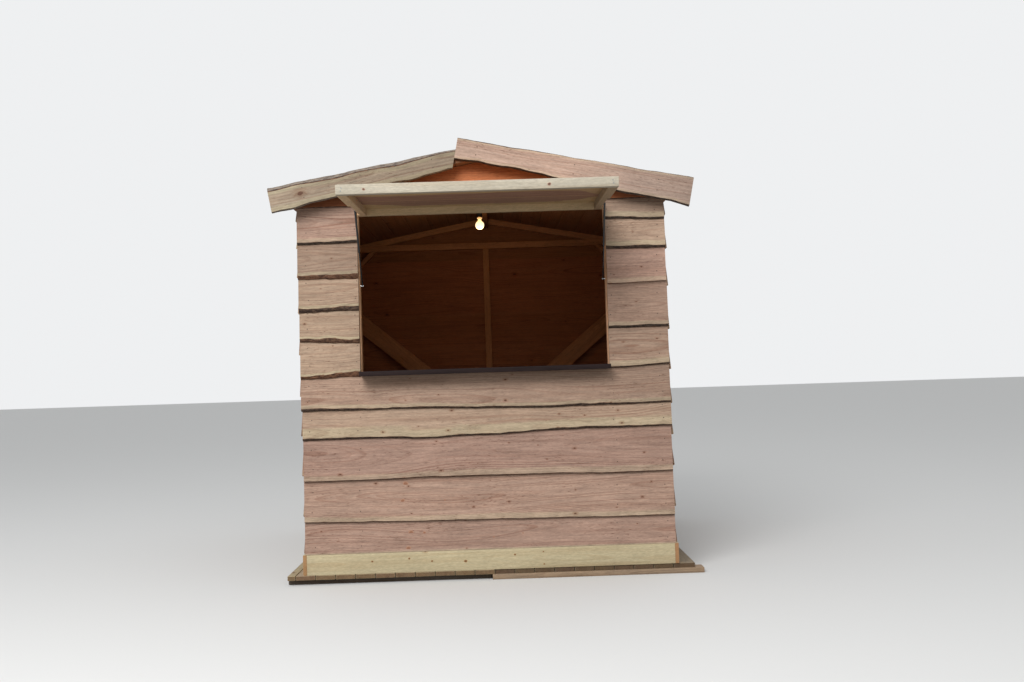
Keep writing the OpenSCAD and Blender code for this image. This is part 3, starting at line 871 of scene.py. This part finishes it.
def plank(part, centre, axes, half, seed, tone=0.6, light=1.0):
    """A sawn plank with chamfered edges."""
    rng = random.Random(seed)
    shift = Vector((rng.uniform(0, 60), rng.uniform(-0.05, 0.05), rng.uniform(-0.08, 0.08)))
    bm = bmesh.new()
    bmesh.ops.create_cube(bm, size=2, matrix=Matrix.Diagonal((*half, 1)))
    corners, faces = eased(bm, 0.002, segments=1)
    points = [centre + sum((a * c for a, c in zip(axes, q)), Vector()) for q in corners]
    part.add(points, faces, [q + shift for q in corners],
             [(rng.uniform(-tone, tone), NO_SAP, 0.0)] * len(points), (), [light] * len(points))


def plank_row(name, material, slot, node, seed, pitch, first, gap, ragged=0.003, painted_shade_from=9.0):
    """Splits a sheet into planks that run along its longer side.

    pitch is a plank's width, first the width of the first one. Planks past the x where shade
    starts are darker, painted shade on their ends, and a little shorter.
    """
    part = Part()
    centre, axes, half = own_axes(cad_points(node))
    width = 2 * half[1]
    edges = [0.0, first]
    while edges[-1] + 1.25 * pitch < width:
        edges.append(edges[-1] + pitch)
    edges.append(width)
    for k, (start, stop) in enumerate(zip(edges, edges[1:])):
        rng = random.Random(seed * 100 + k)
        middle = centre + axes[1] * ((start + stop) / 2 - half[1])
        # Painted shade: the planks past that x are darker
        shorter, light = (0.008, 0.6) if middle.x > painted_shade_from else (0.0, 1.0)
        size = [half[0] - rng.uniform(0, ragged) - shorter, (stop - start - gap) / 2,
                half[2] - rng.uniform(0, 0.0006)]
        plank(part, middle, axes, size, seed * 1000 + k, light=light)
    part.make(name, material, "hut", slot, node)


def ring_of_rails(name, node, seed):
    """Four rails, for a CAD ring: long ones in front and behind, short ones between them."""
    part = Part()
    lo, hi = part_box(node)
    x, y, z = Matrix.Identity(3)
    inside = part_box("corner_posts")[1] - Vector((STUD, STUD, 0))
    tall = (hi.z - lo.z) / 2
    across, deep = hi.x - inside.x, hi.y - inside.y
    for way in (-1, 1):
        plank(part, Vector((0, way * (hi.y - deep / 2), lo.z + tall)), (x, y, z),
              (hi.x, deep / 2, tall), seed + way, tone=0.3)
        plank(part, Vector((way * (hi.x - across / 2), 0, lo.z + tall)), (y, x, z),
              (inside.y - 0.0005, across / 2, tall), seed + 5 + way, tone=0.3)
    part.make(name, "frame", "hut", "frame_timber", node)


ring_of_rails("floor_rails", "sole_rails", 61)
ring_of_rails("wall_plates", "top_rails", 62)
timbers("frame_posts", "frame", "frame_timber", ["corner_posts", "back_centre_post", "sill_rail"],
        63)
timbers("frame_braces", "frame", "frame_timber", ["back_braces", "gable_rails"], 66)
timbers("ridge_timber", "frame", "frame_timber", ["ridge_beam"], 68)
timbers("opening_jambs", "jamb", "pale_spruce", ["opening_posts"], 69)
plinth = timbers("plinth_boards", "spruce", "pale_spruce",
                 ["front_skirting", "side_skirtings", "back_skirting"], 70)
timbers("ground_timbers", "bearer", "floor_boards", ["ground_bearers"], 73, ease=0.004)
timbers("long_front_plank", "plank", "plank_wood", ["front_plank"], 74, ease=0.003)
timbers("counter_shelf", "counter", "counter_board", ["counter"], 75, ease=0.003)
hatch_frame = Part()
timber(hatch_frame, "hatch_cross_rails", 76, 0.002, 0.3, looks=((1.0, NO_SAP), (1.22, 0.0)))
timber(hatch_frame, "hatch_side_rails", 77, 0.002, 0.3, looks=((1.3, 0.0), (0.75, 0.0)))
hatch_rails = hatch_frame.make("hatch_frame", "hatch", "hatch", "pale_spruce",
                               "hatch_cross_rails", "hatch_side_rails")
plank_row("floor_planks", "deck", "floor_boards", "floor_deck", 80, 0.1158, 0.0487, 0.004,
          ragged=0.004, painted_shade_from=0.02)
for label in ("left", "right"):
    plank_row(label + "_roof_planks", "roof", "roof_boards", "roof_" + label, 82 + len(label),
              0.1461, 0.1461, 0.0025)


def knots(name, material, body, slot, piece, places):
    """Knots a hair proud of a piece's front face, at places given as x, height and radius."""
    mesh = piece.data
    surface = BVHTree.FromPolygons([v.co for v in mesh.vertices],
                                   [tuple(p.vertices) for p in mesh.polygons])
    part = Part()
    corners = 14
    rings = ((1.0, -0.0012), (0.94, 0.0002), (0.62, 0.0005), (0.25, 0.0004))
    for number, (x, z, radius) in enumerate(places):
        at = surface.ray_cast(Vector((x, FRONT - 1, z)), Vector((0, 1, 0)))[0]
        points, look = [], []
        for share, proud in rings:
            for a in circle(corners):
                out = radius * share * (1 + 0.3 * wobble(number + 200, math.cos(a), math.sin(a)))
                points.append(at + Vector((1.3 * out * math.cos(a), -proud, out * math.sin(a))))
                look.append((share, NO_SAP, 0.0))
        part.add(points, tube_faces(len(rings), corners, (len(rings) - 1,)), None, look)
    part.make(name, material, body, slot)


# Knots that show in the photograph
knots("skirting_knots", "pale_knot", "hut", "pale_spruce", plinth,
      [(-0.692, 0.127, 0.006), (-0.477, 0.137, 0.006), (-0.345, 0.118, 0.006),
       (-0.150, 0.111, 0.009), (0.138, 0.139, 0.006), (0.304, 0.151, 0.004),
       (0.307, 0.079, 0.005)])
knots("hatch_rail_knots", "rail_knot", "hatch", "pale_spruce", hatch_rails,
      [(-0.570, 2.139, 0.0075), (0.362, 2.137, 0.0095)])
knots("board_knots", "red_knot", "hut", "boards", low_boards,
      [(-0.487, 0.569, 0.014), (-0.507, 0.471, 0.012), (-0.463, 0.286, 0.013),
       (-0.480, 0.196, 0.013), (-0.385, 0.281, 0.008), (-0.260, 0.468, 0.005),
       (0.019, 0.244, 0.005), (0.189, 0.262, 0.004)])


# The hatch's lapped boards: when it is open, the edges that face the hinge lie undermost.
# Metres from the boards' end at the hinge, evenly from left to right, as the photograph shows.
# The pale first and last boards widen near both ends and the darker middle ones narrow there:
# painted light on the panel's corners.
REAR_EDGE = (0.170, 0.132, 0.062, 0.070, 0.067, 0.063, 0.064, 0.067, 0.070, 0.107, 0.227)
MIDDLE_EDGE = (0.292, 0.296, 0.301, 0.299, 0.303, 0.300)
FRONT_EDGE = (0.522, 0.502, 0.502, 0.512, 0.517, 0.517, 0.522, 0.530, 0.529, 0.512, 0.342)
OVERLAP = 0.022


def hatch_panel():
    part = Part()
    centre, axes, half = own_axes(cad_points("hatch_boards"))
    hinge_end = centre + axes[1] * half[1] - axes[2] * half[2]
    # Upper edge as seen from below, lower edge, bark, sapwood, tone, age of the bark
    boards = [((0.0, 0.0), max(REAR_EDGE) + OVERLAP, 0.0012, 5.0, 0.8, 0.0),
              (REAR_EDGE, max(MIDDLE_EDGE) + OVERLAP, 0.009, 0.012, -0.2, 1.3),
              (MIDDLE_EDGE, max(FRONT_EDGE) + OVERLAP, 0.003, 0.010, -0.5, 0.3),
              (FRONT_EDGE, 2 * half[1], 0.0015, 5.0, 0.2, 0.0)]
    for k, (upper, lower, wane, sap, tone, bark) in enumerate(boards):

        def low(u):
            return along_list(upper, (u + half[0]) / (2 * half[0]))

        def high(u):
            return lower + 0.002 * wobble(90 + k, u * 3)

        def place(u, v, d):
            lean = max(0.0, v - low(u)) / (high(u) - low(u)) * half[2]
            return hinge_end + axes[0] * u - axes[1] * v + axes[2] * (d + lean)

        natural_board(part, place, -half[0], half[0], low, high, 91 + k, wane, 0.0, sap, tone,
                      bark, thick=half[2] - 0.0006)
    part.make("hatch_planks", "panel", "hatch", "hatch_panel", "hatch_boards")


hatch_panel()


# Roofing felt: two strips on each slope and a cap over the ridge, each over the one below
FELT = 0.003
CAD_FELT = 0.005
CLOUTS = 22
felt_low, felt_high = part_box("roof_felt")
felt_peak = Vector((0, 0, felt_high.z - CAD_FELT / math.cos(TILT)))
slope_length = felt_high.x / math.cos(TILT)


def felt_strip(part, side, start, stop, lift, seed):
    """A strip that runs the length of the roof, from start to stop down the slope."""
    along, up = slope_axes(side)
    rows, steps = 6, 60
    section = [(r, 0) for r in range(rows + 1)] + [(r, 1) for r in range(rows, -1, -1)]
    points = []
    for s in range(steps + 1):
        y = felt_low.y + (felt_high.y - felt_low.y) * s / steps
        for r, face in section:
            u = start + (stop - start) * r / rows
            ripple = 0.0008 * wobble(seed, u * 4, y * 3) * face
            if r in (0, rows):
                u += 0.002 * wobble(seed + r, y * 2)
            points.append(felt_peak + along * u + up * (lift + FELT * face + ripple)
                          + Vector((0, y, 0)))
    part.add(points, tube_faces(steps + 1, len(section), (0, steps)))


felt = Part()
clouts = []
for side in (-1, 1):
    for layer, ends in enumerate(((0.40, slope_length), (0.0, 0.48), (0.0, 0.15))):
        felt_strip(felt, side, *ends, layer * FELT, 101 + 3 * layer + side)
    along, up = slope_axes(side)
    for layers, u in ((3, 0.13), (2, 0.46), (1, slope_length - 0.03)):
        for k in range(CLOUTS):
            y = felt_low.y + 0.05 + (felt_high.y - felt_low.y - 0.1) * k / (CLOUTS - 1)
            clouts.append((felt_peak + along * u + up * (layers * FELT) + Vector((0, y, 0)), up))
felt.make("roofing_felt_strips", "felt", "hut", "roof_felt", "roof_felt")

# Screws and nails
screws("board_screws", "nail", "hut", SCREWS_AT, 0.0032)
screws("felt_nails", "zinc", "hut", clouts, 0.005)
rail_points = cad_points("hatch_cross_rails")
rail_end = max(p.x for p in rail_points) - STUD / 2
rail_face = min(p.y for p in rail_points)
rail_heights = [p.z for p in rail_points if p.y < rail_face + 0.003]
rail_screws = []
for share in (0.35, 0.65):
    z = min(rail_heights) + (max(rail_heights) - min(rail_heights)) * share
    for x in (0.01 * share - rail_end, rail_end - 0.01 * share):
        rail_screws.append((Vector((x, rail_face, z)), Vector((0, -1, 0))))
screws("hatch_rail_screws", "zinc", "hatch", rail_screws, 0.0035)

# Metal nodes keep their CAD shape
METAL_NODES = {"zinc": ("hinges_fixed", "hinges_moving"), "bright": ("hatch_studs", "post_studs"),
               "rod": ("strut_rod_left", "strut_rod_right"),
               "black": ("strut_cylinder_left", "strut_cylinder_right")}
for material, nodes in METAL_NODES.items():
    for node in nodes:
        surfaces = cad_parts[node].data.materials
        surfaces.clear()
        surfaces.append(MATERIALS[material])


# Lamp

def turned(name, material, slot, z, profile, *nodes):
    """A shape turned about the lamp's upright axis: profile is radius and height above z.

    It goes from the top down, and its look holds the share of the height, from 0 at the foot.
    """
    part = Part()
    corners = 32
    points, look = [], []
    foot = min(height for _, height in profile)
    tall = max(height for _, height in profile) - foot
    for radius, height in profile:
        for a in circle(corners):
            points.append(Vector((lamp_x + radius * math.cos(a), lamp_y + radius * math.sin(a),
                                  z + height)))
            look.append(((height - foot) / tall, NO_SAP, 0.0))
    part.add(points, tube_faces(len(profile), corners, (0, len(profile) - 1)), None, look)
    part.make(name, material, "hut", slot, *nodes)


holder_low, holder_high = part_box("lamp_holder")
bulb_low, bulb_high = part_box("lamp_bulb")
lamp_x = (holder_low.x + holder_high.x) / 2
lamp_y = (holder_low.y + holder_high.y) / 2
tall = holder_high.z - holder_low.z
turned("lamp_socket", "plastic", "lamp_black", holder_high.z,
       [(0.030, 0), (0.032, -0.002), (0.032, -0.007), (0.028, -0.010), (0.019, -0.012),
        (0.019, -0.030), (0.021, -0.032), (0.021, -0.035), (0.019, -0.037),
        (0.0195, -tall + 0.002), (0.018, -tall), (0.014, -tall)], "lamp_holder")
thread = [(0.0128 + 0.0006 * math.cos(k * math.pi), -0.0012 * k) for k in range(1, 15)]
turned("lamp_cap", "brass", "hinge_steel", bulb_high.z, [(0.0125, 0.0)] + thread)
radius = (bulb_high.x - bulb_low.x) / 2
neck = [(0.0125, 0.050), (0.0165, 0.049), (0.0172, 0.0475), (0.0165, 0.046), (0.0118, 0.045),
        (0.0110, 0.040), (0.0112, 0.034), (0.0135, 0.0285)]
globe = [(max(radius * math.cos(a), 0.0004), radius * math.sin(a))
         for a in (math.radians(58 - 148 * k / 14) for k in range(15))]
turned("lamp_glass", "bulb", "lamp_glass", bulb_low.z + radius, neck + globe, "lamp_bulb")

# Stage: a pale floor under a pale sky, which only the camera and reflections see as paler
REACH = 60
floor_mesh = bpy.data.meshes.new("floor")
floor_mesh.from_pydata([(-REACH, -REACH, 0), (REACH, -REACH, 0), (REACH, REACH, 0),
                        (-REACH, REACH, 0)], [], [(0, 1, 2, 3)])
floor = linked("floor", floor_mesh)
pale = new_material("pale_floor")
pale.set(Base_Color=pale.mix(pale.seen_directly(), (0.32, 0.32, 0.31, 1.0),
                             (0.72, 0.72, 0.71, 1.0)), Roughness=0.9, Specular_IOR_Level=0.1)
floor_mesh.materials.append(pale.owner)

world = bpy.data.worlds.new("studio")
bpy.context.scene.world = world
sky = Graph(world, "Background")
sky.set(Color=(0.97, 0.985, 1.0, 1.0), Strength=0.62)
backdrop = sky.add("Background", [("Color", (0.86, 0.87, 0.88, 1.0)), ("Strength", 1.0)])
shown = sky.get(0, "MixShader", [(0, sky.seen_directly()), (1, sky.shader.outputs[0]),
                                 (2, backdrop.outputs[0])])
sky.feed(sky.tree.nodes["World Output"].inputs["Surface"], shown)

key = bpy.data.lights.new("key", "AREA")
key.shape = "DISK"
key.size = 5.5
key.energy = 760
key_lamp = linked("key", key)
key_lamp.location = (-2.6, -8.6, 7.0)
aim = Vector((0, 0, 1.2)) - key_lamp.location
key_lamp.rotation_euler = aim.to_track_quat("-Z", "Y").to_euler()
glow = bpy.data.lights.new("lamp_glow", "POINT")
glow.energy = 3.6
glow.color = (1.0, 0.62, 0.30)
glow.shadow_soft_size = 0.03
linked("lamp_glow", glow).location = (lamp_x, lamp_y, bulb_low.z - 0.05)

# Camera: its place and turn come from a fit to the photograph's wall, hatch and horizon
FOCAL_PIXELS = 1116.1
PHOTO_WIDTH = 1024
CAMERA = Vector((0.0879, -7.7768, 1.1924))
YAW, PITCH, ROLL = (math.radians(a) for a in (0.636, 1.665, -1.840))
camera_data = bpy.data.cameras.new("camera")
camera_data.sensor_width = 36
camera_data.lens = FOCAL_PIXELS / PHOTO_WIDTH * camera_data.sensor_width
camera_data.clip_end = 200
camera = linked("camera", camera_data)
camera.matrix_world = (Matrix.Translation(CAMERA) @ Matrix.Rotation(-YAW, 4, "Z")
                       @ Matrix.Rotation(math.pi / 2 + PITCH, 4, "X")
                       @ Matrix.Rotation(ROLL, 4, "Z"))
bpy.context.scene.camera = camera
bpy.context.scene.view_settings.view_transform = "Standard"
